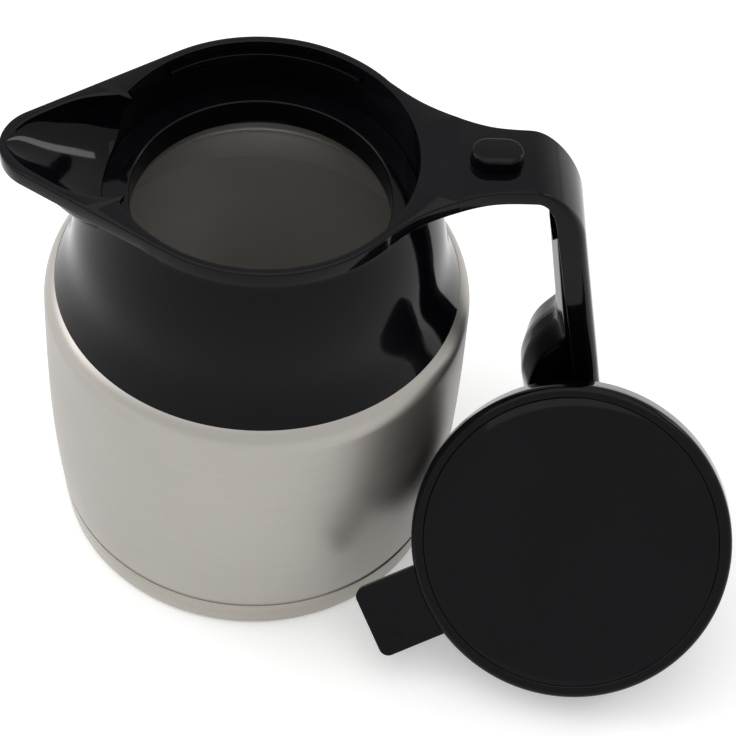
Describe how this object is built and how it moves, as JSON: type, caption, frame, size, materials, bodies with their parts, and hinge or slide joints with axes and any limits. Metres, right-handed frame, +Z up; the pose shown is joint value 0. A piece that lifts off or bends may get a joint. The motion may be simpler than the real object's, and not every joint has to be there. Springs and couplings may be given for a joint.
{
  "type": "thermal carafe",
  "caption": "Double-walled steel thermal carafe with a dark gloss collar, pouring spout, open hooked handle with a push button, and a separate round stopper lid with a thumb lever.",
  "frame": {"origin": "centre of the flat foot on the ground", "axes": "+Z up along the body's axis, +X towards the handle, -X towards the spout"},
  "size_m": [0.24, 0.168, 0.168],
  "materials": {
    "brushed_steel": "fine brushed stainless steel",
    "band_steel": "brushed stainless steel",
    "inner_steel": "dull stainless steel",
    "gloss_black": "polished moulded plastic",
    "lid_plastic": "moulded plastic",
    "base_plastic": "fine matt moulded plastic",
    "seal_rubber": "food-grade silicone rubber",
    "fastener_steel": "bright steel",
    "getter_metal": "dull sintered metal"
  },
  "bodies": {
    "carafe": {"foot_plate": "base_plastic", "base_band": "band_steel", "shell_floor": "inner_steel", "tip_cap": "base_plastic", "getter": "getter_metal", "outer_shell": "brushed_steel", "inner_vessel": "inner_steel", "collar": "gloss_black", "mouth_liner": "gloss_black", "neck_seal": "seal_rubber", "collar_seal": "seal_rubber", "handle": "gloss_black", "handle_insert": "gloss_black", "button_cover": "base_plastic", "button_cover_screws": "fastener_steel", "button_spring": "fastener_steel"},
    "button": {"button": "gloss_black"},
    "lid": {"lid_top": "gloss_black", "lid_base": "lid_plastic", "lid_plug": "lid_plastic", "lid_gasket": "seal_rubber", "lid_screws": "fastener_steel", "lever_pin": "fastener_steel", "valve_spring": "fastener_steel"},
    "thumb_lever": {"thumb_lever": "gloss_black"},
    "valve": {"valve_plunger": "lid_plastic", "valve_seal": "seal_rubber"}
  },
  "joints": [
    {"name": "button_press", "type": "slide", "parent": "carafe", "child": "button", "axis": [0, 0, -1], "range_m": [0, 0.002], "stiffness_N_per_m": 500, "springref_m": -0.003, "deforming": ["button_spring"]},
    {"name": "lid_away", "type": "slide", "parent": "carafe", "child": "lid", "axis": [0.8499, -0.527, 0], "range_m": [0, 0.15]},
    {"name": "lever_tilt", "type": "hinge", "parent": "lid", "child": "thumb_lever", "pos_m": [0.07583, -0.06642, 0.03411], "axis": [0.444, -0.6263, -0.6407], "range_deg": [0, 4], "stiffness_Nm_per_rad": 0.35, "springref_deg": -5.73},
    {"name": "valve_lift", "type": "slide", "parent": "lid", "child": "valve", "axis": [-0.1484, -0.7566, 0.6368], "range_m": [0, 0.0024], "deforming": ["valve_spring"]}
  ],
  "couplings": [
    {"joint": "valve_lift", "follows": "lever_tilt", "m_per_rad": 0.034}
  ]
}
